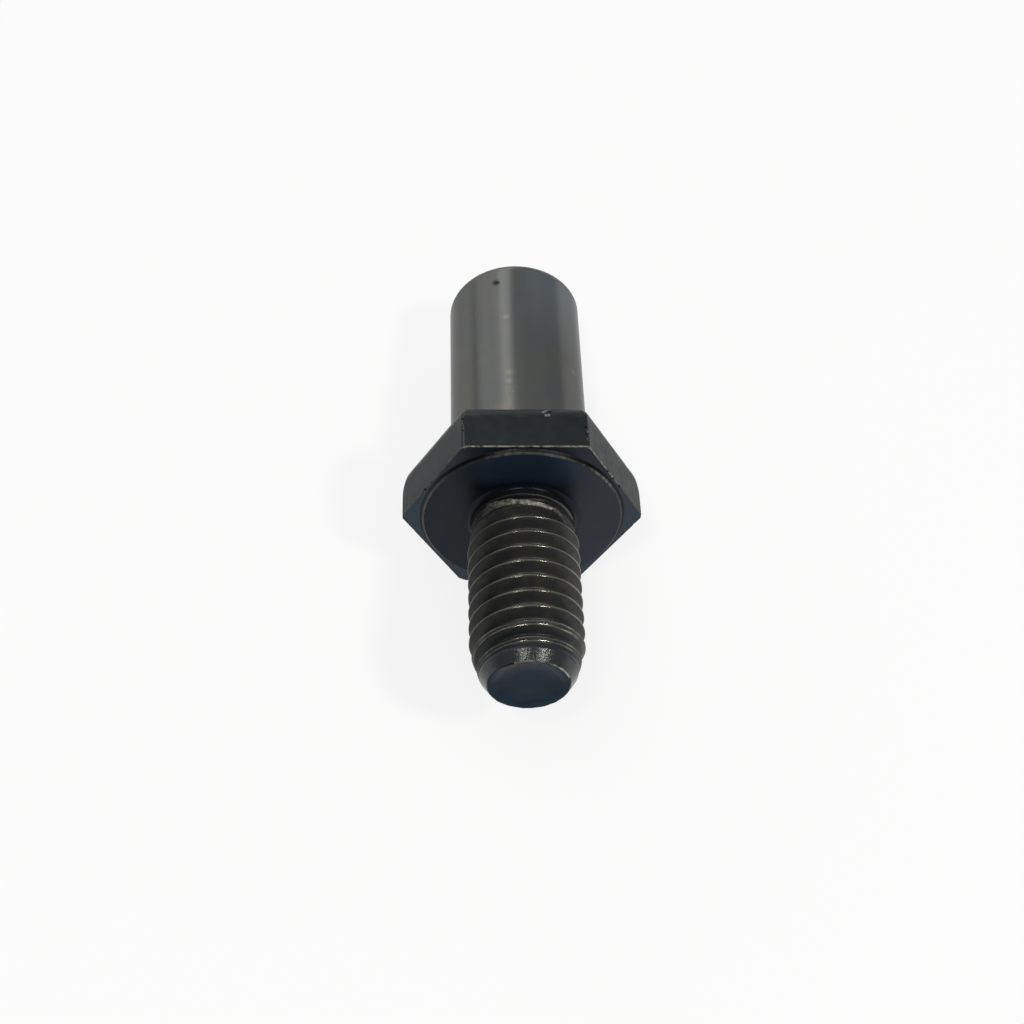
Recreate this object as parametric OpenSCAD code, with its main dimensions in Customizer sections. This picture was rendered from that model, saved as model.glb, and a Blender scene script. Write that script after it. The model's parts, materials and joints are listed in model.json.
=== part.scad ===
// Threaded stud: a plain pin, a hex collar with a raised seat, and a threaded end, all in one piece.
// It lies as it comes to rest, on the edge of one flat of the hex and on the rim of the pin,
// with the threaded end towards -Y and a little raised.

/* [Thread] */
// Outside diameter of the thread
thread_d = 7.8; // [7:0.1:10]
// Distance from one turn of the thread to the next
thread_pitch = 1.25; // [1:0.05:1.5]
// Length of the threaded end, from the seat to the tip
thread_length = 14; // [10:0.5:40]
// Width of the flat along the thread's crest
crest_flat = 0.16; // [0.1:0.01:0.2]
// Width of the flat along the thread's root
root_flat = 0.22; // [0.15:0.01:0.3]
// Height above the seat of the first full crest, on the stud's upper side
first_crest = 2.85; // [2:0.05:4]

/* [Neck] */
// Diameter of the plain neck between the seat and the thread
neck_d = 7.3; // [6.6:0.1:8]
// Length of the plain neck
neck_length = 0.5; // [0.2:0.1:2]
// Radius of the fillet between the seat and the neck
neck_fillet_r = 0.45; // [0.35:0.05:1]
// Length over which the thread grows from the neck to its full depth
run_out = 2.1; // [1:0.1:4]

/* [Tip] */
// Length of the taper that leads up to the chamfer
taper_length = 2; // [1:0.1:4]
// Depth that the taper takes off the thread where it meets the chamfer
taper_drop = 0.62; // [0.3:0.01:0.7]
// Width of the chamfer at the tip, measured outwards from the end face
tip_chamfer = 0.53; // [0.3:0.01:0.8]
// Length of that chamfer along the axis
tip_chamfer_length = 0.8; // [0.3:0.1:1.5]
// Width of the flat ring around the dish in the end face
dish_rim = 0.3; // [0.1:0.05:0.6]
// Depth of the dish in the end face
dish_depth = 0.25; // [0.1:0.05:0.6]

/* [Hex collar] */
// Width across the flats
hex_af = 14.85; // [13:0.05:18]
// Thickness of the hex, without its seat
hex_thickness = 4.2; // [3.5:0.1:8]
// Depth turned off each corner
corner_trim = 0.12; // [0.05:0.01:0.4]
// Radius rolled along the edges of the flats on the pin side
roll_r = 1.4; // [0.4:0.1:2]
// Step from the flats in to the edge of the raised seat
seat_step = 0.35; // [0.2:0.05:1]
// Height of the raised seat
seat_height = 0.3; // [0.1:0.05:0.6]

/* [Pin] */
// Diameter of the plain pin
pin_d = 10; // [8:0.1:11.5]
// Length of the pin, from the hex to its end
pin_length = 17; // [12:0.5:40]
// Radius around the pin's end
pin_round_r = 0.9; // [0.3:0.1:2]

/* [Hidden] */
$fn = 96;
// How far joined shapes reach into each other, and cutting shapes past what they cut
reach = 0.5;
// How far the fillet's curve runs on into the neck
fillet_sink = 0.05;

// Places along the stud's axis, from the seat at 0 towards the tip
hex_near = -seat_height;
hex_far = hex_near - hex_thickness;
pin_end = hex_far - pin_length;
chamfer_along = thread_length - tip_chamfer_length;

// Radii and half widths
thread_r = thread_d / 2;
thread_depth = (thread_pitch - crest_flat - root_flat) / 2 * tan(60);
root_r = thread_r - thread_depth;
neck_r = neck_d / 2;
fillet_out = neck_r + neck_fillet_r - fillet_sink;
clear_r = max(thread_r, neck_r) + reach;
taper_r = thread_r - taper_drop;
tip_r = taper_r - tip_chamfer;
dish_r = tip_r - dish_rim;
dish_sphere_r = (dish_r * dish_r + dish_depth * dish_depth) / (2 * dish_depth);
flat_out = hex_af / 2;
corner_r = hex_af / sqrt(3) - corner_trim;
seat_r = flat_out - seat_step;
pin_r = pin_d / 2;

// Place where the taper's line leaves the room for the thread
taper_clear = chamfer_along - taper_length * (clear_r - taper_r) / taper_drop;

// The helix: corners of one turn's profile, steps in a turn, and turns from well below the seat to past the tip
crest_middle = (thread_pitch + root_flat) / 2;
profile_along = [0, root_flat, crest_middle - crest_flat / 2, crest_middle + crest_flat / 2];
profile_r = [root_r, root_r, thread_r, thread_r];
corners = len(profile_r);
turn_steps = 36;
upper_side = 90;
turns_below = ceil(first_crest / thread_pitch) + 2;
turns = ceil(thread_length / thread_pitch) + turns_below;
steps = turns * turn_steps;
helix_start = first_crest - crest_middle - thread_pitch * (turns_below + upper_side / 360);

// The surface it rests on touches the rolled edge of the hex and the round of the pin's end
roll_out = flat_out - roll_r;
roll_along = hex_far + roll_r;
round_out = pin_r - pin_round_r;
round_along = pin_end + pin_round_r;
rest_run = roll_along - round_along;
rest_drop = roll_out - round_out;
rest_tilt = atan2(rest_drop, rest_run) + asin((roll_r - pin_round_r) / norm([rest_run, rest_drop]));

// Height of the seat's centre above that surface, and the stud's reach in front of it and behind it
seat_lift = roll_r + roll_out * cos(rest_tilt) - roll_along * sin(rest_tilt);
reach_front = thread_length * cos(rest_tilt) + tip_r * sin(rest_tilt);
reach_back = pin_round_r + round_out * sin(rest_tilt) - round_along * cos(rest_tilt);

// Share of the thread's full depth at a height above the seat
function depth_share(along) = max(0, min(1, (along - neck_length) / run_out));

// Point of the helix at one step around it and one corner of its profile
function helix_point(step, corner) =
  let (
    angle = 360 * step / turn_steps,
    along = helix_start + thread_pitch * step / turn_steps + profile_along[corner],
    r = neck_r + (profile_r[corner] - neck_r) * depth_share(along))
    [r * cos(angle), r * sin(angle), along];

// Number of that point in the list; the corner past the last is the first corner, one turn on
function helix_index(step, corner) =
  corner == corners ? helix_index(step + turn_steps, 0)
  : step <= steps ? step * corners + corner
  : steps * corners + corners + step - steps - 1;

// Two triangles between four points of a grid
function pair(a, b, c, d) = [[a, b, c], [a, c, d]];

// The end of the helix: a fan from a point on the axis to one turn of the root and to the profile's step
function fan(middle, first_step) = concat(
  [for (i = [0 : turn_steps - 1])
     [middle, helix_index(first_step + i, 0), helix_index(first_step + i + 1, 0)]],
  [for (c = [0 : corners - 1])
     [middle, helix_index(first_step, c + 1), helix_index(first_step, c)]]);

function flipped(faces) = [for (f = faces) [f[0], f[2], f[1]]];

// Right-hand thread, longer at both ends than the stud's
module helix() {
  bottom = [0, 0, helix_start - thread_pitch];
  top = [0, 0, helix_start + thread_pitch * (turns + 2)];
  points = concat(
    [for (i = [0 : steps], c = [0 : corners - 1]) helix_point(i, c)],
    [for (i = [steps + 1 : steps + turn_steps]) helix_point(i, 0)],
    [bottom, top]);
  side = [for (i = [0 : steps - 1], c = [0 : corners - 1])
    each pair(helix_index(i, c), helix_index(i, c + 1), helix_index(i + 1, c + 1), helix_index(i + 1, c))];
  polyhedron(points, concat(side, fan(len(points) - 2, 0), flipped(fan(len(points) - 1, steps))));
}

// Turned form of the threaded end: room for the thread, taper, chamfer and end face
module threaded_end_turning() {
  rotate_extrude()
    polygon([
      [0, -reach], [clear_r, -reach],
      [clear_r, taper_clear], [taper_r, chamfer_along],
      [tip_r, thread_length], [0, thread_length]]);
}

module threaded_end() {
  difference() {
    intersection() {
      threaded_end_turning();
      helix();
    }
    translate([0, 0, thread_length + dish_sphere_r - dish_depth])
      sphere(dish_sphere_r);
  }
}

// Slab as wide as the flats are apart, with its edges rolled on the pin side
module flats() {
  rotate([90, 0, 0])
    linear_extrude(4 * corner_r, center = true) {
      translate([-flat_out, roll_along])
        square([2 * flat_out, hex_near - roll_along]);
      translate([-roll_out, hex_far])
        square([2 * roll_out, hex_near - hex_far]);
      for (side = [-1, 1])
        translate([side * roll_out, roll_along])
          circle(roll_r);
    }
}

// Hex with its corners turned off a little
module hex_collar() {
  intersection() {
    translate([0, 0, hex_far - reach])
      cylinder(r = corner_r, h = hex_thickness + 2 * reach);
    rotate(90) flats();
    rotate(30) flats();
    rotate(-30) flats();
  }
}

// Raised seat on the collar, with the fillet from its face up to the neck
module raised_seat() {
  rotate_extrude() {
    translate([0, hex_near - reach])
      square([seat_r, seat_height + reach]);
    difference() {
      translate([0, -reach])
        square([fillet_out, neck_fillet_r + reach]);
      translate([fillet_out, neck_fillet_r])
        circle(neck_fillet_r);
    }
  }
}

module plain_pin() {
  rotate_extrude() {
    translate([0, pin_end])
      square([round_out, pin_length + reach]);
    translate([0, round_along])
      square([pin_r, pin_length + reach - pin_round_r]);
    intersection() {
      translate([round_out, round_along])
        circle(pin_round_r);
      translate([0, pin_end])
        square([pin_r, pin_length]);
    }
  }
}

// The whole stud, turned from standing on its pin to lying at rest
module stud() {
  color("dimgray")
    translate([0, (reach_front - reach_back) / 2, seat_lift])
      rotate([90 - rest_tilt, 0, 0]) {
        threaded_end();
        hex_collar();
        raised_seat();
        plain_pin();
      }
}

stud();
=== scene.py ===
"""Looks of the threaded stud: a ground pin, a blackened hex collar and a worn, blackened thread."""

import json
import math
import random

import bmesh
import bpy
from mathutils import Matrix, Quaternion, Vector, noise


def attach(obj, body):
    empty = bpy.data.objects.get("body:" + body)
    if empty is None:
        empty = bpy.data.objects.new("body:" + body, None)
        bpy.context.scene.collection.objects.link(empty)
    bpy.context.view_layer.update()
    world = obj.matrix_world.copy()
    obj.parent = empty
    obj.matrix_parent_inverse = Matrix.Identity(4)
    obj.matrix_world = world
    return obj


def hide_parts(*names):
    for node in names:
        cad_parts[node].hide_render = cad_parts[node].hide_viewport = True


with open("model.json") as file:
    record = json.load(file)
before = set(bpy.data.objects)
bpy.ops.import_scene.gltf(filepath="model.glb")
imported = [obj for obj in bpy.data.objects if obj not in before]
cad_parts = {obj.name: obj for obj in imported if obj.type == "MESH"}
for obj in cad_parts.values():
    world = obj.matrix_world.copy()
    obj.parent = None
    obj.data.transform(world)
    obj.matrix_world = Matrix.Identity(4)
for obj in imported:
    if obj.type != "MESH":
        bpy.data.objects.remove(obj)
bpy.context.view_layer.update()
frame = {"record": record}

MM = 0.001

# The stud's own frame: millimetres, the seat at 0, +Z towards the tip, +Y out of the upper flat
mounts = {mount["name"]: mount for mount in frame["record"]["mounts"]}
TIP_WAY = Vector(mounts["seat"]["axis"])
SEAT_MIDDLE = Vector((0, *mounts["seat"]["pos_m"][1:]))
STAND_UP = math.pi / 2 - math.atan2(TIP_WAY.z, -TIP_WAY.y)
TURN_DOWN = Matrix.Rotation(STAND_UP, 4, "X")
LYING = Matrix.Translation(SEAT_MIDDLE) @ TURN_DOWN @ Matrix.Scale(MM, 4)

# Sizes in millimetres, as in the part's source
PIN_R = mounts["plain_pin"]["dims"]["r_mm"]
PIN_LENGTH = 17.0
PIN_ROUND_R = 0.9
HEX_AF = 14.85
HEX_THICKNESS = 4.2
CORNER_TRIM = 0.12
ROLL_R = 1.4
SEAT_STEP = 0.35
SEAT_HEIGHT = 0.3
NECK_R = 3.65
NECK_LENGTH = 0.5
NECK_FILLET_R = 0.45
NECK_FILLET_SINK = 0.05
RUN_OUT = 2.1
THREAD_R = mounts["thread"]["dims"]["r_mm"]
THREAD_LENGTH = 14.0
PITCH = 1.25
CREST_FLAT = 0.16
ROOT_FLAT = 0.22
FIRST_CREST = 2.85
TAPER_LENGTH = 2.0
TAPER_DROP = 0.62
TIP_CHAMFER = 0.53
TIP_CHAMFER_LENGTH = 0.8
DISH_DEPTH = 0.25

# Places along the axis, radii and slopes that follow from them
HEX_NEAR = -SEAT_HEIGHT
HEX_FAR = HEX_NEAR - HEX_THICKNESS
PIN_END = HEX_FAR - PIN_LENGTH
FLAT_OUT = HEX_AF / 2
CORNER_R = HEX_AF / math.sqrt(3) - CORNER_TRIM
SEAT_R = FLAT_OUT - SEAT_STEP
FLANK_STEEP = math.tan(math.radians(60))
CHAMFER_ALONG = THREAD_LENGTH - TIP_CHAMFER_LENGTH
TAPER_ALONG = CHAMFER_ALONG - TAPER_LENGTH
TAPER_R = THREAD_R - TAPER_DROP
TIP_R = TAPER_R - TIP_CHAMFER

# Worn edges: the seat's lip and slope, the hex's near edges, and the dish's edge, further in than when new
SEAT_LIP_W = 0.13
SEAT_SLOPE_W = 0.14
NEAR_EDGE_W = 0.07
DISH_R = 2.2

# The ragged ridge where the thread begins: its place and half its width at the top, their change per radian,
# its radius, the slopes of its top and sides, and the angles over which it rises and fades
RIDGE_ALONG = 1.48
RIDGE_SLANT = 0.395
RIDGE_HALF = 0.16
RIDGE_WIDER = 0.12
RIDGE_R = 3.86
RIDGE_TOP_SLOPE = 0.55
RIDGE_SIDE_SLOPE = 3.0
RIDGE_RISES = (0.5, 0.95)
RIDGE_FADES = (2.22, 2.7)

# Where the thread begins, from the end of the neck: the groove's full depth, and the crest's rise
FULL_GROOVE = 1.3
CREST_RISE = 1.0

# The split along the tapered crests, from lip to lip, its groove, and the step down past the last lip
SPLIT_W = 0.32
SPLIT_GROOVE_HALF = 0.11
SPLIT_DEPTH = 0.08
STEP_W = 0.10
STEP_DEPTH = 0.07

# Shapes that are joined reach this far into each other
REACH = 0.4
TURN_STEPS = 160

# Finishes, in the order of the stud's material slots
PIN, FLATS, FACES, THREAD, WORN = range(5)


# Shader helpers

def add_node(tree, kind, settings=None, inputs=None):
    """A new node, with its settings, and its inputs linked or set."""
    node = tree.nodes.new(kind)
    for name, value in (settings or {}).items():
        setattr(node, name, value)
    for name, value in (inputs or {}).items():
        if isinstance(value, bpy.types.NodeSocket):
            tree.links.new(value, node.inputs[name])
        else:
            node.inputs[name].default_value = value
    return node


def math_node(tree, operation, *values):
    return add_node(tree, "ShaderNodeMath", {"operation": operation}, dict(enumerate(values))).outputs[0]


def vector_math(tree, operation, output, *values):
    node = add_node(tree, "ShaderNodeVectorMath", {"operation": operation}, dict(enumerate(values)))
    return node.outputs[output]


def remap(tree, value, low, high, to_low=0.0, to_high=1.0):
    """A value's range from low to high, clamped and stretched to another range."""
    inputs = {"Value": value, "From Min": low, "From Max": high, "To Min": to_low, "To Max": to_high}
    return add_node(tree, "ShaderNodeMapRange", {"clamp": True}, inputs).outputs["Result"]


def mix_colour(tree, share, first, second):
    node = add_node(tree, "ShaderNodeMix", {"data_type": "RGBA"}, {"Factor": share})
    for socket, value in ((node.inputs[6], first), (node.inputs[7], second)):
        if isinstance(value, bpy.types.NodeSocket):
            tree.links.new(value, socket)
        else:
            socket.default_value = (*value, 1.0)
    return node.outputs[2]


def new_group(name, inputs, outputs):
    """A shader node group with number and vector inputs and number outputs, and its two end nodes."""
    tree = bpy.data.node_groups.new(name, "ShaderNodeTree")
    for label, kind in inputs.items():
        tree.interface.new_socket(label, in_out="INPUT", socket_type=kind)
    for label in outputs:
        tree.interface.new_socket(label, in_out="OUTPUT", socket_type="NodeSocketFloat")
    return tree, tree.nodes.new("NodeGroupInput"), tree.nodes.new("NodeGroupOutput")


def make_mottle():
    """Cloudy patches: a mask that runs from 0 to 1 between two levels of a noise."""
    kinds = {"Vector": "NodeSocketVector", "Scale": "NodeSocketFloat",
             "Low": "NodeSocketFloat", "High": "NodeSocketFloat"}
    tree, ins, outs = new_group("mottle", kinds, ["Mask"])
    cloud = add_node(tree, "ShaderNodeTexNoise", None,
                     {"Vector": ins.outputs["Vector"], "Scale": ins.outputs["Scale"],
                      "Detail": 4.0, "Roughness": 0.6})
    mask = remap(tree, cloud.outputs["Fac"], ins.outputs["Low"], ins.outputs["High"])
    tree.links.new(mask, outs.inputs["Mask"])
    return tree


def make_tool_marks():
    """Fine lines from a wheel or a tool: rings around the axis, or streaks along it, by the two densities."""
    kinds = {"Vector": "NodeSocketVector", "Along": "NodeSocketFloat", "Across": "NodeSocketFloat"}
    tree, ins, outs = new_group("tool_marks", kinds, ["Height"])
    split = add_node(tree, "ShaderNodeSeparateXYZ", None, {"Vector": ins.outputs["Vector"]})
    along = math_node(tree, "MULTIPLY", split.outputs["Z"], ins.outputs["Along"])
    across = [math_node(tree, "MULTIPLY", split.outputs[axis], ins.outputs["Across"]) for axis in "XY"]
    place = add_node(tree, "ShaderNodeCombineXYZ", None, {"X": across[0], "Y": across[1], "Z": along})
    lines = add_node(tree, "ShaderNodeTexNoise", None,
                     {"Vector": place.outputs["Vector"], "Scale": 1.0, "Detail": 2.0})
    tree.links.new(lines.outputs["Fac"], outs.inputs["Height"])
    return tree


MOTTLE = make_mottle()
TOOL_MARKS = make_tool_marks()


def mottle(tree, place, scale, low, high):
    inputs = {"Vector": place, "Scale": scale, "Low": low, "High": high}
    return add_node(tree, "ShaderNodeGroup", {"node_tree": MOTTLE}, inputs).outputs["Mask"]


def tool_marks(tree, place, along, across):
    inputs = {"Vector": place, "Along": along, "Across": across}
    return add_node(tree, "ShaderNodeGroup", {"node_tree": TOOL_MARKS}, inputs).outputs["Height"]


def spots(tree, place, middles, radius):
    """A mask of soft round spots at some places on the stud."""
    mask = 0.0
    for middle in middles:
        away = vector_math(tree, "DISTANCE", "Value", place, middle)
        mask = math_node(tree, "MAXIMUM", remap(tree, away, 0.3 * radius, radius, 1.0, 0.0), mask)
    return mask


def coordinates(tree, place):
    """X, Y and Z on the stud, and the distance from its axis."""
    split = add_node(tree, "ShaderNodeSeparateXYZ", None, {"Vector": place})
    flat_place = vector_math(tree, "MULTIPLY", "Vector", place, (1, 1, 0))
    out = vector_math(tree, "LENGTH", "Value", flat_place)
    return split.outputs["X"], split.outputs["Y"], split.outputs["Z"], out


def new_finish(name, edge_tint):
    """A metal's material with its tree, its shader and the place on the stud in its own millimetres."""
    material = bpy.data.materials.new(name)
    material.use_nodes = True
    tree = material.node_tree
    shader = tree.nodes["Principled BSDF"]
    shader.inputs["Metallic"].default_value = 1.0
    shader.inputs["Specular Tint"].default_value = (edge_tint, edge_tint, edge_tint, 1)
    object_place = add_node(tree, "ShaderNodeTexCoord").outputs["Object"]
    turn_back = add_node(tree, "ShaderNodeMapping", {"vector_type": "TEXTURE"},
                         {"Vector": object_place, "Location": SEAT_MIDDLE,
                          "Rotation": (STAND_UP, 0, 0), "Scale": (MM, MM, MM)})
    return material, tree, shader, turn_back.outputs["Vector"]


def bump(tree, shader, height, depth):
    node = add_node(tree, "ShaderNodeBump", None, {"Height": height, "Strength": 1.0, "Distance": depth})
    tree.links.new(node.outputs["Normal"], shader.inputs["Normal"])


# Finishes

# Marks in the finishes: flecks, rubbed patches and the darker spots around the pit on the pin, the lips of
# the hex's chip, and the brown part of the tip's rim
PIN_FLECKS = [(-0.87, 4.92, -15.5), (-0.80, 4.94, -9.75), (-0.84, 4.93, -8.9), (4.01, 2.99, -11.66)]
RUBBED_PATCHES = [(-0.86, 4.93, -8.3), (-0.82, 4.93, -7.7), (-0.78, 4.94, -7.1), (-0.74, 4.95, -6.5),
                  (-0.70, 4.95, -5.9), (-0.66, 4.96, -5.3), (-0.62, 4.96, -4.7)]
BROWN_PATCHES = [(-1.45, 4.79, -6.4), (-1.2, 4.85, -5.7)]
PIT_DARKENING = [(-1.50, 4.77, -19.3), (-1.60, 4.74, -19.42)]
CHIP_LIPS = [(1.30, 7.36, -3.53), (1.46, 7.29, -3.69), (1.62, 7.21, -3.84), (1.78, 7.10, -4.00),
             (1.94, 6.96, -4.14), (2.15, 7.00, -4.11), (2.40, 7.00, -4.11), (2.65, 7.00, -4.11),
             (2.90, 7.00, -4.11), (3.15, 7.00, -4.11), (1.48, 7.42, -3.18), (1.66, 7.42, -3.18)]
BROWN_RIM = [(-0.9, 2.35, 13.95), (-1.6, 1.9, 13.95), (-0.3, 2.55, 13.95)]


def ground_steel():
    """The pin's satin ground steel, with streaks, flecks, rubbed patches, a pit darker around it and a
    painted reflection.
    """
    material, tree, shader, place = new_finish("ground_steel", 0.6)
    x, _, z, _ = coordinates(tree, place)
    cloudy = mottle(tree, place, 0.35, 0.35, 0.65)
    streaks = tool_marks(tree, place, 0.06, 2.2)
    steel = mix_colour(tree, cloudy, (0.122, 0.127, 0.128), (0.138, 0.137, 0.123))
    streaked = mix_colour(tree, remap(tree, streaks, 0.35, 0.65, 0.0, 0.25), steel, (0.10, 0.10, 0.097))
    # Painted reflection: the far end of the pin is made lighter and bluer on its right side.
    far_right_sheen = math_node(tree, "MULTIPLY", remap(tree, z, -13.0, -19.0), remap(tree, x, 0.0, 1.5))
    sheened = mix_colour(tree, far_right_sheen, streaked, (0.155, 0.170, 0.175))
    browned = mix_colour(tree, math_node(tree, "MULTIPLY", spots(tree, place, BROWN_PATCHES, 0.8), 0.5),
                         sheened, (0.17, 0.145, 0.105))
    rubbed = math_node(tree, "MULTIPLY", spots(tree, place, RUBBED_PATCHES, 0.4),
                       mottle(tree, place, 3.0, 0.4, 0.6))
    bare = math_node(tree, "MAXIMUM", rubbed, spots(tree, place, PIN_FLECKS, 0.34))
    flecked = mix_colour(tree, math_node(tree, "MULTIPLY", bare, 0.38), browned, (0.24, 0.23, 0.20))
    # Darker around the pit in the pin.
    pit_darkened = mix_colour(tree, spots(tree, place, PIT_DARKENING, 0.36), flecked, (0.040, 0.044, 0.037))
    tree.links.new(pit_darkened, shader.inputs["Base Color"])
    rings = tool_marks(tree, place, 26.0, 0.15)
    rough = math_node(tree, "ADD", remap(tree, rings, 0.3, 0.7, 0.22, 0.27),
                      math_node(tree, "MULTIPLY", rubbed, 0.1))
    tree.links.new(rough, shader.inputs["Roughness"])
    relief = math_node(tree, "ADD", rings, math_node(tree, "MULTIPLY", rubbed, 5.0))
    bump(tree, shader, relief, 0.0000006)
    return material


def black_oxide():
    """Blackening on the flats, rubbed along one side of each corner and where the rolled edge begins, and
    painted shade.
    """
    material, tree, shader, place = new_finish("black_oxide", 0.8)
    x, y, z, out = coordinates(tree, place)
    patches = mottle(tree, place, 0.9, 0.35, 0.7)
    # Painted light and shade: the upper flat gets a lighter colour than the side flats, and the right side
    # flats are darkened.
    sides = mix_colour(tree, patches, (0.0205, 0.0238, 0.0258), (0.0265, 0.0303, 0.0322))
    upper = mix_colour(tree, patches, (0.0275, 0.0320, 0.0330), (0.0345, 0.0395, 0.0400))
    right_sides = mix_colour(tree, remap(tree, x, 3.0, 5.5, 0.0, 0.16), sides, (0.0, 0.0, 0.0))
    flats = mix_colour(tree, remap(tree, y, 6.6, 7.2), right_sides, upper)
    # Painted shade: the upper part of the seat's sloping edge is darkened.
    above_hex = remap(tree, z, HEX_NEAR, HEX_NEAR + 0.03)
    slope_shade = math_node(tree, "MULTIPLY", above_hex, remap(tree, y, 4.0, 6.0))
    black = mix_colour(tree, slope_shade, flats, (0.014, 0.015, 0.015))
    sixth = math.pi / 6
    from_flat = math_node(tree, "SUBTRACT", math_node(tree, "ARCTAN2", y, x), sixth)
    off_flat = math_node(tree, "WRAP", from_flat, sixth, -sixth)
    across = math_node(tree, "MULTIPLY", out, math_node(tree, "COSINE", off_flat))
    sunk = math_node(tree, "SUBTRACT", FLAT_OUT, across)
    beside_flat = math_node(tree, "MULTIPLY", remap(tree, sunk, 0.003, 0.012),
                            remap(tree, sunk, 0.035, 0.06, 1.0, 0.0))
    one_side = math_node(tree, "MULTIPLY", remap(tree, off_flat, 0.3, 0.4), remap(tree, z, -3.35, -3.2))
    line = math_node(tree, "MULTIPLY", math_node(tree, "MULTIPLY", beside_flat, one_side),
                     mottle(tree, place, 1.6, 0.3, 0.5))
    roll_line = math_node(tree, "MULTIPLY", math_node(tree, "COMPARE", z, HEX_FAR + ROLL_R, 0.035),
                          mottle(tree, place, 0.7, 0.5, 0.62))
    rubbed = mix_colour(tree, line, black, (0.085, 0.084, 0.080))
    rolled = mix_colour(tree, roll_line, rubbed, (0.07, 0.064, 0.068))
    chipped = mix_colour(tree, spots(tree, place, CHIP_LIPS, 0.15), rolled, (0.27, 0.265, 0.25))
    tree.links.new(chipped, shader.inputs["Base Color"])
    tree.links.new(remap(tree, patches, 0.0, 1.0, 0.33, 0.42), shader.inputs["Roughness"])
    bump(tree, shader, mottle(tree, place, 14.0, 0.25, 0.75), 0.000002)
    return material


def blue_oxide():
    """Bluer blackening on the turned faces: the collar's corners, the seat, and the tip, with painted light
    and shade.
    """
    material, tree, shader, place = new_finish("blue_oxide", 0.8)
    x, y, z, out = coordinates(tree, place)
    at_tip = remap(tree, z, 9.0, 12.0)
    chamfer = math_node(tree, "MULTIPLY", at_tip, remap(tree, out, TIP_R - 0.02, TIP_R + 0.04))
    tree.links.new(remap(tree, chamfer, 0.0, 1.0, 0.25, 0.5), shader.inputs["Specular IOR Level"])
    patches = mottle(tree, place, 0.6, 0.3, 0.7)
    # Painted shading: the seat is darker on the left and lighter on the right.
    right_side = math_node(tree, "ADD", remap(tree, x, -4.0, 4.5, 0.0, 0.8),
                           math_node(tree, "MULTIPLY", patches, 0.2))
    seat = mix_colour(tree, right_side, (0.0085, 0.0125, 0.0175), (0.027, 0.031, 0.042))
    # Painted reflection: a lighter, bluer patch on the seat just above the thread.
    sheen_above_thread = math_node(tree, "MULTIPLY", remap(tree, y, 3.4, 4.6),
                             remap(tree, math_node(tree, "ABSOLUTE", x), 2.5, 4.0, 1.0, 0.0))
    seat_with_sheen = mix_colour(tree, sheen_above_thread, seat, (0.028, 0.050, 0.084))
    # Painted shade: the seat is darkened around the neck.
    neck_shaded_seat = mix_colour(tree, remap(tree, out, 3.7, 4.3), (0.006, 0.008, 0.010), seat_with_sheen)
    # Painted shading: the collar's near face and corners are lighter and bluer low down, darker at the top.
    corner = mix_colour(tree, remap(tree, y, 2.5, 5.0), (0.034, 0.047, 0.059), (0.022, 0.026, 0.034))
    collar = mix_colour(tree, remap(tree, out, SEAT_R + SEAT_SLOPE_W - 0.02, SEAT_R + SEAT_SLOPE_W + 0.04),
                        neck_shaded_seat, corner)
    brown = math_node(tree, "MULTIPLY", spots(tree, place, BROWN_RIM, 0.9), remap(tree, out, 2.1, 2.3))
    # Painted shading: the end face is darker at the top and lighter lower down.
    dish = mix_colour(tree, remap(tree, y, -0.3, -1.8), (0.0125, 0.021, 0.030), (0.018, 0.029, 0.041))
    end_face = mix_colour(tree, brown, dish, (0.040, 0.037, 0.029))
    tip = mix_colour(tree, chamfer, end_face, (0.026, 0.028, 0.032))
    tree.links.new(mix_colour(tree, at_tip, collar, tip), shader.inputs["Base Color"])
    tip_metal = remap(tree, chamfer, 0.0, 1.0, 1.0, 0.0)
    tree.links.new(remap(tree, at_tip, 0.0, 1.0, 0.65, tip_metal), shader.inputs["Metallic"])
    satin = remap(tree, patches, 0.0, 1.0, 0.28, 0.36)
    tree.links.new(remap(tree, chamfer, 0.0, 1.0, satin, 0.2), shader.inputs["Roughness"])
    grain = math_node(tree, "MULTIPLY", mottle(tree, place, 7.0, 0.25, 0.75),
                      remap(tree, chamfer, 0.0, 1.0, 0.7, 3.0))
    bump(tree, shader, grain, 0.000003)
    return material


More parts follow.
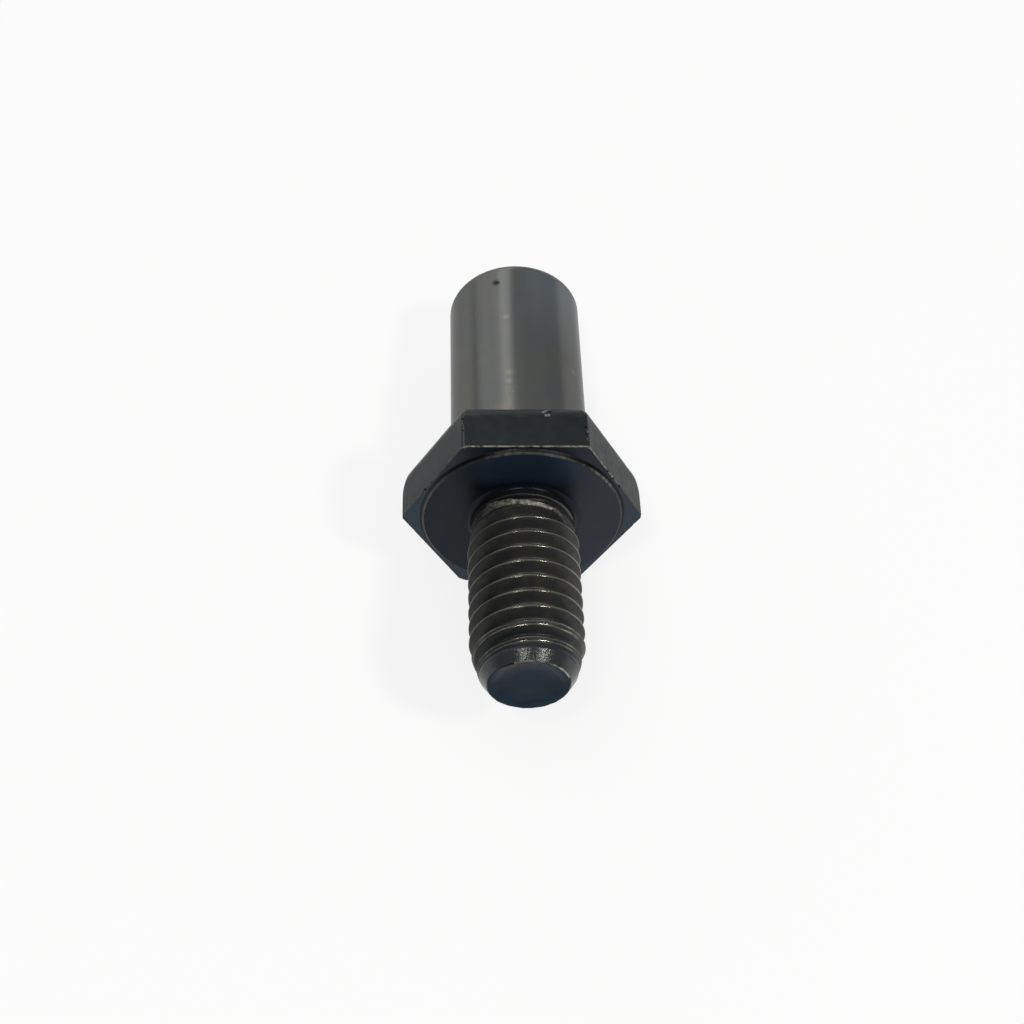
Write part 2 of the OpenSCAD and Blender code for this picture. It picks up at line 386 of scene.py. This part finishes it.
def black_thread():
    """Oily blackening in the grooves, worn to bare metal on the crests and the ragged ridge at the start, and
    painted shade.
    """
    material, tree, shader, place = new_finish("black_thread", 0.8)
    shader.inputs["Specular IOR Level"].default_value = 0.25
    x, y, z, out = coordinates(tree, place)
    around = math_node(tree, "ARCTAN2", y, x)
    tapering = remap(tree, z, TAPER_ALONG, CHAMFER_ALONG, THREAD_R, TAPER_R)
    below_crest = math_node(tree, "SUBTRACT", out, tapering)
    worn_depth = math_node(tree, "MULTIPLY", mottle(tree, place, 3.0, 0.3, 0.7), 0.02)
    before_taper = remap(tree, z, TAPER_ALONG - 0.2, TAPER_ALONG + 0.2, 1.0, 0.0)
    full_crests = math_node(tree, "MULTIPLY", remap(tree, z, 1.9, 2.4), before_taper)
    bare_crests = math_node(tree, "MULTIPLY", full_crests,
                            remap(tree, math_node(tree, "ADD", below_crest, worn_depth), -0.035, 0.0))
    # Painted shade: the bare crests are dimmed towards the left.
    crest = math_node(tree, "MULTIPLY", bare_crests, remap(tree, x, -2.8, -0.8, 0.4, 1.0))

    # Both lips of the split along the tapered crests
    turned_along = math_node(tree, "MULTIPLY", around, PITCH / math.tau)
    from_crest = math_node(tree, "SUBTRACT", math_node(tree, "SUBTRACT", z, turned_along),
                           FIRST_CREST - PITCH / 4)
    off_crest = math_node(tree, "WRAP", from_crest, PITCH / 2, -PITCH / 2)
    half_flat = math_node(tree, "DIVIDE", math_node(tree, "SUBTRACT", THREAD_R, tapering), FLANK_STEEP)
    off_lip = math_node(tree, "ADD", math_node(tree, "ADD", off_crest, half_flat), CREST_FLAT / 2)
    both_lips = math_node(tree, "MAXIMUM", math_node(tree, "COMPARE", off_lip, 0.06, 0.06),
                          math_node(tree, "COMPARE", off_lip, SPLIT_W + 0.02, 0.05))
    # Painted highlight: the bare lips fade towards the lower side.
    upper = remap(tree, y, 1.6, 3.0, 0.25, 1.0)
    bare_lips = math_node(tree, "MULTIPLY", math_node(tree, "MULTIPLY", both_lips, upper),
                          remap(tree, z, TAPER_ALONG - 0.2, TAPER_ALONG + 0.1))
    lip = math_node(tree, "MULTIPLY", bare_lips, mottle(tree, place, 1.5, 0.25, 0.55))
    worn = math_node(tree, "MAXIMUM", crest, lip)

    # The ragged ridge
    slanted = math_node(tree, "ADD", z, math_node(tree, "MULTIPLY", around, RIDGE_SLANT))
    half_ridge = math_node(tree, "ADD", math_node(tree, "MULTIPLY", around, RIDGE_WIDER),
                           RIDGE_HALF + 0.02 - RIDGE_WIDER * math.pi / 2)
    on_ridge = math_node(tree, "COMPARE", slanted, RIDGE_ALONG + RIDGE_SLANT * math.pi / 2, half_ridge)
    stretch = math_node(tree, "MULTIPLY", remap(tree, around, 0.75, 1.0),
                        remap(tree, around, 2.0, 2.40, 1.0, 0.0))
    ridge = math_node(tree, "MULTIPLY", math_node(tree, "MULTIPLY", on_ridge, stretch),
                      remap(tree, out, 3.56, 3.62))
    ragged = math_node(tree, "MULTIPLY", ridge, mottle(tree, place, 3.6, 0.36, 0.62))

    oil = mottle(tree, place, 1.1, 0.4, 0.65)
    black = mix_colour(tree, oil, (0.038, 0.039, 0.042), (0.058, 0.055, 0.046))
    tip = mix_colour(tree, remap(tree, z, TAPER_ALONG + 0.2, TAPER_ALONG + 1.2), black, (0.022, 0.025, 0.030))
    # Painted shade: darker at the neck, next to the seat.
    neck = mix_colour(tree, remap(tree, z, 1.0, 1.4), (0.014, 0.014, 0.015), tip)
    # Painted highlight: a light ring around the neck.
    neck_glint_ring = mix_colour(tree, math_node(tree, "COMPARE", z, 0.68, 0.04), neck, (0.085, 0.085, 0.092))
    crested = mix_colour(tree, crest, neck_glint_ring, (0.17, 0.165, 0.142))
    split = mix_colour(tree, lip, crested, (0.30, 0.29, 0.25))
    ridged = mix_colour(tree, ragged, split, (0.30, 0.29, 0.25))
    # Painted shade: the whole thread darkens towards the left.
    shaded_left = mix_colour(tree, remap(tree, x, -3.4, 1.5, 0.4, 0.0), ridged, (0.0, 0.0, 0.0))
    tree.links.new(shaded_left, shader.inputs["Base Color"])
    tree.links.new(remap(tree, math_node(tree, "MAXIMUM", worn, ridge), 0.0, 1.0, 0.3, 1.0),
                   shader.inputs["Metallic"])
    smooth = remap(tree, worn, 0.0, 1.0, 0.36, 0.17)
    tree.links.new(math_node(tree, "ADD", smooth, math_node(tree, "MULTIPLY", ridge, 0.2)),
                   shader.inputs["Roughness"])
    bump(tree, shader, mottle(tree, place, 9.0, 0.2, 0.8), 0.000003)
    return material


def worn_steel():
    """Bare metal on edges and in chips, with a painted highlight on the upper edges and around the tip."""
    material, tree, shader, place = new_finish("worn_steel", 0.8)
    x, y, _, out = coordinates(tree, place)
    # Painted highlight: the bare metal is much lighter on the upper edges, at the upper right and around the
    # tip.
    top = math_node(tree, "MAXIMUM", remap(tree, y, 7.15, 7.32), remap(tree, out, 3.2, 4.0, 1.0, 0.0))
    upper_right_glint = math_node(tree, "MULTIPLY", remap(tree, y, 3.3, 4.3, 0.0, 0.5), remap(tree, x, 3.8, 4.4))
    bright = math_node(tree, "MAXIMUM", top, upper_right_glint)
    light = mix_colour(tree, bright, (0.075, 0.074, 0.071), (0.40, 0.385, 0.34))
    worn = mottle(tree, place, 2.4, 0.32, 0.55)
    tree.links.new(mix_colour(tree, worn, (0.035, 0.036, 0.036), light), shader.inputs["Base Color"])
    shader.inputs["Roughness"].default_value = 0.36
    bump(tree, shader, mottle(tree, place, 8.0, 0.2, 0.8), 0.000005)
    return material


FINISHES = [ground_steel(), black_oxide(), blue_oxide(), black_thread(), worn_steel()]


# Modelling helpers, all in the stud's own frame

def as_piece(bm, name):
    """A new object with all the finishes, from a closed shape whose faces know theirs."""
    mesh = bpy.data.meshes.new(name)
    bm.to_mesh(mesh)
    bm.free()
    for material in FINISHES:
        mesh.materials.append(material)
    piece = bpy.data.objects.new(name, mesh)
    bpy.context.scene.collection.objects.link(piece)
    return piece


def close_up(bm, finish):
    """Merges doubles, turns the faces outwards and gives them one finish."""
    bmesh.ops.remove_doubles(bm, verts=bm.verts, dist=0.002)
    bmesh.ops.recalc_face_normals(bm, faces=bm.faces)
    for face in bm.faces:
        face.material_index = finish


def arc(middle, radius, start, end, steps):
    """Points of a round stretch of an outline, from one angle in degrees to another."""
    angles = [math.radians(start + (end - start) * i / steps) for i in range(steps + 1)]
    return [(middle[0] + radius * math.cos(a), middle[1] + radius * math.sin(a)) for a in angles]


def turned(outline, finish):
    """A turned shape, from an outline of (radius, along) points that starts and ends on the axis."""
    bm = bmesh.new()
    points = [bm.verts.new((radius, 0, along)) for radius, along in outline]
    lines = [bm.edges.new(ends) for ends in zip(points, points[1:])]
    bmesh.ops.spin(bm, geom=points + lines, cent=(0, 0, 0), axis=(0, 0, 1), angle=math.tau,
                   steps=TURN_STEPS, use_merge=True)
    close_up(bm, finish)
    return bm


def refinish(bm, finish, is_there):
    """Another finish on the faces whose middle, as radius, place along the axis and angle, is there."""
    for face in bm.faces:
        middle = face.calc_center_median()
        angle = math.degrees(math.atan2(middle.y, middle.x))
        if is_there(math.hypot(middle.x, middle.y), middle.z, angle):
            face.material_index = finish


def combine(piece, tool, operation, overlaps=False):
    """Joins, cuts or keeps what is common, and takes the tool away."""
    modifier = piece.modifiers.new("combine", "BOOLEAN")
    modifier.operation = operation
    modifier.solver = "EXACT"
    modifier.use_self = overlaps
    modifier.object = tool
    seen = piece.evaluated_get(bpy.context.evaluated_depsgraph_get())
    mesh = bpy.data.meshes.new_from_object(seen)
    piece.modifiers.clear()
    piece.data = mesh
    bpy.data.objects.remove(tool)


# Shapes of the stud

def plain_pin():
    corner = arc((PIN_R - PIN_ROUND_R, PIN_END + PIN_ROUND_R), PIN_ROUND_R, -90, 0, 12)
    return turned([(0, PIN_END), *corner, (PIN_R, HEX_NEAR - REACH), (0, HEX_NEAR - REACH)], PIN)


def raised_seat():
    """The seat with its worn, sloping edge, and the fillet up to the neck."""
    foot_out = SEAT_R + SEAT_SLOPE_W
    lip_in = SEAT_R - SEAT_LIP_W
    fillet_out = NECK_R + NECK_FILLET_R - NECK_FILLET_SINK
    fillet = arc((fillet_out, NECK_FILLET_R), NECK_FILLET_R, -90, -180, 8)
    bottom = HEX_NEAR - REACH / 2
    bm = turned([(0, bottom), (foot_out, bottom), (foot_out, HEX_NEAR), (SEAT_R, -SEAT_LIP_W), (lip_in, 0),
                 *fillet, (0, NECK_FILLET_R)], FACES)
    refinish(bm, FLATS, lambda radius, along, angle: radius > SEAT_R and along > HEX_NEAR)
    refinish(bm, WORN, lambda radius, along, angle: radius > lip_in and along > -SEAT_LIP_W)
    return bm


def corner_turning():
    """Room for the hex, rounded towards the pin to cut off the far corners, most of all the lower ones."""
    top = HEX_NEAR + REACH
    round_r = 3.0
    round_along = HEX_FAR + 2.4
    round_from = -62
    lift = 0.05
    lean = 0.20
    rounded = arc((CORNER_R - round_r, round_along), round_r, round_from, 0, 16)
    bm = turned([(0, rounded[0][1]), *rounded, (CORNER_R, top), (0, top)], FLATS)
    for vert in bm.verts:
        vert.co.y += lift + lean * max(0.0, rounded[-1][1] - vert.co.z)
    return bm


def hex_block():
    bm = bmesh.new()
    across_corners = HEX_AF / math.sqrt(3)
    bmesh.ops.create_cone(bm, cap_ends=True, segments=6, radius1=across_corners, radius2=across_corners,
                          depth=HEX_NEAR - HEX_FAR)
    bmesh.ops.rotate(bm, verts=bm.verts, matrix=Matrix.Rotation(math.radians(30), 3, "Z"))
    middle = (HEX_NEAR + HEX_FAR) / 2
    bmesh.ops.translate(bm, verts=bm.verts, vec=(0, 0, middle))
    far_edges = [edge for edge in bm.edges if all(v.co.z < middle for v in edge.verts)]
    bmesh.ops.bevel(bm, geom=far_edges, offset=ROLL_R, affect="EDGES", segments=12, profile=0.5,
                    material=-1)
    close_up(bm, FLATS)
    for face in bm.faces:
        if face.normal.z > 0.9:
            face.material_index = FACES
    return bm


def hex_collar():
    """The hex with its corners turned off, rolled edges on the pin side and worn edges on the seat side."""
    piece = as_piece(hex_block(), "collar")
    combine(piece, as_piece(corner_turning(), "corner_turning"), "INTERSECT")
    bm = bmesh.new()
    bm.from_mesh(piece.data)
    near = [edge for edge in bm.edges
            if all(abs(v.co.z - HEX_NEAR) < 0.001 for v in edge.verts) and edge.calc_face_angle(0) > 1]
    worn = bmesh.ops.bevel(bm, geom=near, offset=NEAR_EDGE_W, affect="EDGES", segments=2, profile=0.5,
                           material=-1)
    for face in worn["faces"]:
        face.material_index = WORN
    bm.to_mesh(piece.data)
    bm.free()
    return piece


def add_lump(bm, place, size, turn, finish):
    """A lumpy cutting shape at a place on the stud, of a given size, turned about the axis."""
    lumpiness = 0.35
    verts = bmesh.ops.create_icosphere(bm, subdivisions=2, radius=0.5)["verts"]
    for vert in verts:
        vert.co *= 1 + lumpiness * noise.noise(vert.co * 4 + Vector(place) * 7)
    bmesh.ops.scale(bm, vec=size, verts=verts)
    bmesh.ops.rotate(bm, verts=verts, matrix=Matrix.Rotation(math.radians(turn), 3, "Z"))
    bmesh.ops.translate(bm, vec=place, verts=verts)
    for face in {face for vert in verts for face in vert.link_faces}:
        face.material_index = finish


# Marks that the photograph shows: place, size, turn about the axis and finish
MARKS = [
    # Chip in the far edge of the upper flat
    ((1.68, 7.38, -3.56), (0.42, 0.40, 0.28), 0, FLATS),
    # Left edge of the upper flat
    ((-4.24, 7.42, -1.80), (0.20, 0.20, 0.22), 30, FLATS),
    ((-4.24, 7.42, -2.85), (0.20, 0.20, 0.22), 30, FLATS),
    ((-4.12, 7.42, -0.27), (0.50, 0.30, 0.24), 30, WORN),
    # Right edge of the upper flat
    ((4.18, 7.43, -2.05), (0.26, 0.22, 0.20), -30, FLATS),
    ((4.27, 7.36, -1.76), (0.24, 0.24, 0.18), -30, WORN),
    ((4.18, 7.43, -1.42), (0.28, 0.22, 0.22), -30, FLATS),
    ((4.27, 7.36, -1.02), (0.26, 0.26, 0.28), -30, WORN),
    ((4.27, 7.36, -0.26), (0.30, 0.30, 0.26), -30, WORN),
    # Near edges
    ((0.39, 7.46, -0.66), (0.22, 0.14, 0.16), 0, FLATS),
    ((-2.56, 7.46, -0.24), (0.50, 0.18, 0.18), 0, FLATS),
    ((5.80, 4.90, -0.26), (0.30, 0.34, 0.28), 30, FLATS),
    ((6.22, 4.16, -0.24), (0.28, 0.40, 0.28), 30, FLATS),
    ((6.68, 3.33, -0.26), (0.28, 0.36, 0.28), 30, FLATS),
    ((-6.86, 2.94, -0.26), (0.30, 0.36, 0.30), -30, FLATS),
    # Burr on the seat's edge
    ((-0.26, 7.04, 0.02), (0.20, 0.26, 0.20), 0, WORN),
    # Pit in the pin
    ((-1.50, 4.88, -19.30), (0.40, 0.40, 0.40), 0, PIN),
]


def add_small_nicks(bm):
    """Small nicks along the corners and near edges that face down and away, spread out by chance."""
    chance = random.Random(8)
    for corner in (0, 3, 4, 5):
        angle = math.radians(60 * corner)
        for along in (-0.9, -1.8, -2.7):
            size = [chance.uniform(0.16, 0.32) for axis in range(3)]
            place = (CORNER_R * math.cos(angle), CORNER_R * math.sin(angle),
                     along + chance.uniform(-0.3, 0.3))
            add_lump(bm, place, size, 60 * corner, chance.choice((FLATS, WORN)))
    for flat in (3, 4, 5):
        angle = math.radians(60 * flat + 30)
        for sideways in (-2.6, -0.8, 1.1, 2.9):
            size = [chance.uniform(0.14, 0.28) for axis in range(3)]
            spot = Vector((FLAT_OUT + 0.03, sideways + chance.uniform(-0.5, 0.5), HEX_NEAR + 0.02))
            place = Matrix.Rotation(angle, 3, "Z") @ spot
            add_lump(bm, place, size, 60 * flat + 30, chance.choice((FLATS, WORN)))


def marked_body():
    """Collar, seat and pin in one, with the marks cut into them."""
    piece = hex_collar()
    combine(piece, as_piece(raised_seat(), "raised_seat"), "UNION")
    combine(piece, as_piece(plain_pin(), "plain_pin"), "UNION")
    bm = bmesh.new()
    for place, size, turn, finish in MARKS:
        add_lump(bm, place, size, turn, finish)
    add_small_nicks(bm)
    combine(piece, as_piece(bm, "marks"), "DIFFERENCE", overlaps=True)
    return piece


def least(first, second, blend):
    """The lesser of two values, with a round blend where they meet."""
    near = max(blend - abs(first - second), 0) / blend
    return min(first, second) - near * near * blend / 4


def ramp(value, low, high):
    """0 below low, 1 above high, and a straight rise between them."""
    return max(0.0, min(1.0, (value - low) / (high - low)))


def fade(value, low, high):
    """1 below low, 0 above high, and a straight fall between them."""
    return 1 - ramp(value, low, high)


def taper_radius(along):
    return TAPER_R + (CHAMFER_ALONG - along) * TAPER_DROP / TAPER_LENGTH


def tip_radius(along):
    """Radius of the taper and the chamfer at the tip."""
    chamfer = TIP_R + (THREAD_LENGTH - along) * (TAPER_R - TIP_R) / TIP_CHAMFER_LENGTH
    return least(taper_radius(along), chamfer, 0.03)


def ridge_radius(angle, along):
    """Radius of the ragged ridge where the thread begins, which slopes down towards the tip."""
    off_ridge = along - RIDGE_ALONG - RIDGE_SLANT * (math.pi / 2 - angle)
    half = RIDGE_HALF + RIDGE_WIDER * (angle - math.pi / 2)
    top = RIDGE_R - RIDGE_TOP_SLOPE * (off_ridge + half)
    near_side = RIDGE_R + RIDGE_SIDE_SLOPE * (off_ridge + half)
    far_side = RIDGE_R - RIDGE_TOP_SLOPE * 2 * half - RIDGE_SIDE_SLOPE * (off_ridge - half)
    out_of_sight = 0.5
    sunk = out_of_sight * (1 - ramp(angle, *RIDGE_RISES) * fade(angle, *RIDGE_FADES))
    return min(top, near_side, far_side) - sunk


def split_depth(off_crest, along):
    """Depth of the split along the tapered crests, and of the step down past the last lip."""
    half_flat = CREST_FLAT / 2 + max(0.0, THREAD_R - taper_radius(along)) / FLANK_STEEP
    off_split = off_crest + half_flat - SPLIT_W / 2
    groove = SPLIT_DEPTH * max(0.0, 1 - (off_split / SPLIT_GROOVE_HALF) ** 2)
    past_lip = ramp(off_split, SPLIT_W / 2, SPLIT_W / 2 + STEP_W) * fade(off_split, 0.5, 0.7)
    step = STEP_DEPTH * past_lip * ramp(along, TAPER_ALONG + 0.8, TAPER_ALONG + 1.1)
    on_taper = ramp(along, TAPER_ALONG - 0.3, TAPER_ALONG + 0.2)
    return (groove + step) * on_taper * fade(along, CHAMFER_ALONG - 0.1, CHAMFER_ALONG + 0.05)


def thread_radius(angle, along):
    """Radius of the thread's surface: grooves from the neck on, and tapered, split crests at the tip."""
    turn = (angle / math.tau - 0.25) * PITCH
    off_crest = (along - FIRST_CREST - turn + PITCH / 2) % PITCH - PITCH / 2
    off_root = PITCH / 2 - abs(off_crest) - ROOT_FLAT / 2
    full_depth = (PITCH - CREST_FLAT - ROOT_FLAT) / 2 * FLANK_STEEP
    crest = NECK_R + (THREAD_R - NECK_R) * ramp(along, NECK_LENGTH + CREST_RISE, NECK_LENGTH + RUN_OUT)
    depth = full_depth * ramp(along, NECK_LENGTH, NECK_LENGTH + FULL_GROOVE)
    depth *= fade(along, CHAMFER_ALONG - 0.25, CHAMFER_ALONG + 0.05)
    rise = -least(-off_root * FLANK_STEEP, 0.0, 0.16)
    groove = crest - depth + rise
    edge_round = 0.07
    whole = least(least(crest, groove, edge_round), tip_radius(along), edge_round)
    return max(whole - split_depth(off_crest, along), ridge_radius(angle, along))


# Burrs and dents on the thread: place, how far the surface is raised, and how wide
THREAD_MARKS = [
    (Vector((-1.12, 3.71, 5.57)), 0.09, 0.22),
    (Vector((-1.45, 3.60, 5.72)), 0.07, 0.16),
    (Vector((3.03, 2.46, 12.29)), -0.14, 0.20),
    (Vector((-0.75, 3.82, 4.12)), 0.05, 0.20),
]


def thread_marks(place):
    """Rise of the thread's surface at a place: burrs, dents, uneven crests and the rough first turn."""
    rise = 0.012 * noise.noise(place * 1.3)
    rise += 0.045 * noise.noise(place * 4.5) * ramp(place.z, 0.8, 1.0) * fade(place.z, 1.8, 2.2)
    for middle, height, spread in THREAD_MARKS:
        away = (place - middle).length / spread
        rise += height * math.exp(-away * away)
    return rise


def thread_blank():
    """A helical sheet around the axis, shaped into the thread and closed at both ends."""
    turn_steps = 96
    from_crest = [0.03, 0.055, 0.08, 0.105, 0.13, 0.16, 0.19, 0.23, 0.27, 0.31, 0.35, 0.39, 0.43, 0.47,
                  0.51, 0.55, 0.59, PITCH / 2]
    along_pitch = [-away for away in reversed(from_crest)] + [0.0] + from_crest
    turns = math.ceil((THREAD_LENGTH + REACH) / PITCH) + 2
    start = FIRST_CREST - PITCH * 3.75
    bm = bmesh.new()
    points = [bm.verts.new((THREAD_R, 0, start + along)) for along in along_pitch]
    lines = [bm.edges.new(ends) for ends in zip(points, points[1:])]
    bmesh.ops.spin(bm, geom=points + lines, cent=(0, 0, 0), axis=(0, 0, 1), angle=math.tau * turns,
                   dvec=(0, 0, PITCH / turn_steps), steps=turn_steps * turns)
    bmesh.ops.remove_doubles(bm, verts=bm.verts, dist=0.01)
    for vert in bm.verts:
        angle = math.atan2(vert.co.y, vert.co.x)
        radius = thread_radius(angle, vert.co.z)
        vert.co.x = radius * math.cos(angle)
        vert.co.y = radius * math.sin(angle)
        if NECK_LENGTH < vert.co.z < CHAMFER_ALONG:
            vert.co += Vector((vert.co.x, vert.co.y, 0)) / radius * thread_marks(vert.co)
    for level, way in ((-REACH, -1), (THREAD_LENGTH + REACH, 1)):
        cut = bmesh.ops.bisect_plane(bm, geom=bm.verts[:] + bm.edges[:] + bm.faces[:], dist=0.0001,
                                     plane_co=(0, 0, level), plane_no=(0, 0, way), clear_outer=True)
        rim = [item for item in cut["geom_cut"] if isinstance(item, bmesh.types.BMEdge)]
        bmesh.ops.holes_fill(bm, edges=rim, sides=0)
    close_up(bm, THREAD)
    refinish(bm, FACES, lambda radius, along, angle:
             along > CHAMFER_ALONG and radius > tip_radius(along) - 0.06)
    return bm


def tip_turning():
    """Room for the thread, the rough rim of the tip, and the end face with its uneven dish."""
    clear = THREAD_R + REACH
    bottom = -REACH / 2
    rim_top = THREAD_LENGTH - 0.08
    rim_out = TIP_R + 0.06
    rim_in = TIP_R - 0.04
    outline = [(0, bottom), (clear, bottom), (clear, rim_top), (rim_out, rim_top), (rim_in, THREAD_LENGTH),
               (DISH_R + 0.15, THREAD_LENGTH - 0.05), (DISH_R, THREAD_LENGTH - 0.5 * DISH_DEPTH),
               (DISH_R - 0.25, THREAD_LENGTH - 0.85 * DISH_DEPTH),
               (0.5 * DISH_R, THREAD_LENGTH - DISH_DEPTH), (0, THREAD_LENGTH - DISH_DEPTH)]
    bm = turned(outline, FACES)
    bare_from, bare_to = 18, 112
    refinish(bm, WORN, lambda radius, along, angle:
             rim_in < radius < rim_out and along > rim_top and bare_from < angle < bare_to)
    rim_rough = 0.05
    dish_waves = 0.16
    peak_at, peak_w, peak_out = 97, 14, 0.22
    for vert in bm.verts:
        radius = math.hypot(vert.co.x, vert.co.y)
        if vert.co.z < THREAD_LENGTH - 0.3 or radius < 0.1 or radius > rim_out + 0.1:
            continue
        way = Vector((vert.co.x, vert.co.y, 0)) / radius
        if radius > rim_in - 0.01:
            vert.co += way * rim_rough * noise.noise(way * 6)
        elif radius > 0.6 * DISH_R:
            off_peak = (math.degrees(math.atan2(way.y, way.x)) - peak_at) / peak_w
            vert.co += way * (dish_waves * noise.noise(way * 2.2) + peak_out * math.exp(-off_peak ** 2))
    return bm


def finished_stud():
    """The whole stud in one mesh, laid down in the frame's place."""
    piece = as_piece(thread_blank(), "finished_stud")
    combine(piece, as_piece(tip_turning(), "tip_turning"), "INTERSECT")
    combine(piece, marked_body(), "UNION")
    piece.data.transform(LYING)
    for polygon in piece.data.polygons:
        polygon.use_smooth = True
    sharpest_smooth = math.radians(32)
    piece.data.set_sharp_from_angle(angle=sharpest_smooth)
    even = piece.modifiers.new("even_flats", "WEIGHTED_NORMAL")
    even.keep_sharp = True
    return piece


# Camera, floor and light

def add_camera():
    """The photograph's view: from above and in front of the tip, with the camera a little rolled."""
    data = bpy.data.cameras.new("view")
    data.lens = 59.0
    data.clip_start = 0.005
    camera = bpy.data.objects.new("view", data)
    stands = Vector((-5.535, -65.666, 108.79)) * MM
    looks_at = Vector((-0.721, -3.322, 8.063)) * MM
    roll = Quaternion((0, 0, 1), math.radians(3.65))
    camera.rotation_mode = "QUATERNION"
    camera.rotation_quaternion = (looks_at - stands).to_track_quat("-Z", "Y") @ roll
    camera.location = stands
    bpy.context.scene.collection.objects.link(camera)
    bpy.context.scene.camera = camera


def white_paper():
    """Pale paper that the camera and reflections see mostly as white, and partly as the light falls on it."""
    material = bpy.data.materials.new("white_paper")
    material.use_nodes = True
    tree = material.node_tree
    shader = tree.nodes["Principled BSDF"]
    shader.inputs["Base Color"].default_value = (0.96, 0.96, 0.96, 1)
    shader.inputs["Roughness"].default_value = 0.9
    shader.inputs["Specular IOR Level"].default_value = 0.1
    white = add_node(tree, "ShaderNodeEmission", None, {"Color": (1, 1, 1, 1), "Strength": 1.0})
    ray = add_node(tree, "ShaderNodeLightPath")
    mirrored = math_node(tree, "MAXIMUM", ray.outputs["Is Glossy Ray"], ray.outputs["Is Transmission Ray"])
    seen = math_node(tree, "MAXIMUM", ray.outputs["Is Camera Ray"], mirrored)
    share = math_node(tree, "MULTIPLY", seen, 0.8)
    mixed = add_node(tree, "ShaderNodeMixShader", None,
                     {0: share, 1: shader.outputs["BSDF"], 2: white.outputs["Emission"]})
    tree.links.new(mixed.outputs["Shader"], tree.nodes["Material Output"].inputs["Surface"])
    return material


def add_floor():
    bm = bmesh.new()
    bmesh.ops.create_grid(bm, x_segments=1, y_segments=1, size=2.0)
    mesh = bpy.data.meshes.new("floor")
    bm.to_mesh(mesh)
    bm.free()
    mesh.materials.append(white_paper())
    floor = bpy.data.objects.new("floor", mesh)
    bpy.context.scene.collection.objects.link(floor)


# Lamps: their distance from the seat in metres, and their colour
LAMP_DISTANCE = 0.6
LAMP_COLOUR = (1.0, 0.98, 0.92)


def add_lamp(name, tip_share, around, size, radiance):
    """A rectangular lamp that faces the stud, as bright as a surface of that radiance.

    Its direction leans towards the tip by a share of 1, and is turned about the stud's axis by an angle
    from the upper flat towards +X. Its width runs around the axis.
    """
    turn = math.radians(around)
    spread = math.sqrt(1 - tip_share * tip_share)
    out = Vector((spread * math.sin(turn), spread * math.cos(turn), tip_share))
    sideways = Vector((math.cos(turn), -math.sin(turn), 0))
    axes = Matrix((sideways, out.cross(sideways), out)).transposed()
    data = bpy.data.lights.new(name, "AREA")
    data.shape = "RECTANGLE"
    data.size, data.size_y = size
    data.energy = math.pi * radiance * size[0] * size[1]
    data.color = LAMP_COLOUR
    lamp = bpy.data.objects.new(name, data)
    placed = TURN_DOWN @ axes.to_4x4() @ Matrix.Translation((0, 0, LAMP_DISTANCE))
    lamp.matrix_world = Matrix.Translation(SEAT_MIDDLE) @ placed
    bpy.context.scene.collection.objects.link(lamp)


def add_sky():
    """A room that is lighter overhead than at the horizon, and dimmer in front of the tip."""
    world = bpy.data.worlds.new("studio")
    world.use_nodes = True
    tree = world.node_tree
    way = add_node(tree, "ShaderNodeTexCoord").outputs["Generated"]
    split = add_node(tree, "ShaderNodeSeparateXYZ", None, {"Vector": way})
    overhead = remap(tree, split.outputs["Z"], 0.0, 1.0, 0.5, 0.7)
    behind = remap(tree, split.outputs["Y"], -0.3, 0.3, 0.28, 1.0)
    sky = tree.nodes["Background"]
    sky.inputs["Color"].default_value = (0.93, 0.97, 1.0, 1)
    tree.links.new(math_node(tree, "MULTIPLY", overhead, behind), sky.inputs["Strength"])
    bpy.context.scene.world = world


def add_light():
    """The room, two broad lamps that the pin mirrors, and two small ones for the glints on the thread."""
    add_sky()
    add_lamp("window", tip_share=-0.79, around=-19.4, size=(0.14, 0.6), radiance=0.65)
    add_lamp("window_side", tip_share=-0.79, around=-42, size=(0.48, 0.6), radiance=0.55)
    add_lamp("lamp_left", tip_share=0.473, around=-12.5, size=(0.08, 0.08), radiance=38)
    add_lamp("lamp_right", tip_share=0.418, around=34.5, size=(0.07, 0.07), radiance=70)


bpy.context.scene.view_settings.view_transform = "Standard"
add_camera()
add_floor()
add_light()

stud = finished_stud()
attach(stud, "root")
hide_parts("stud")
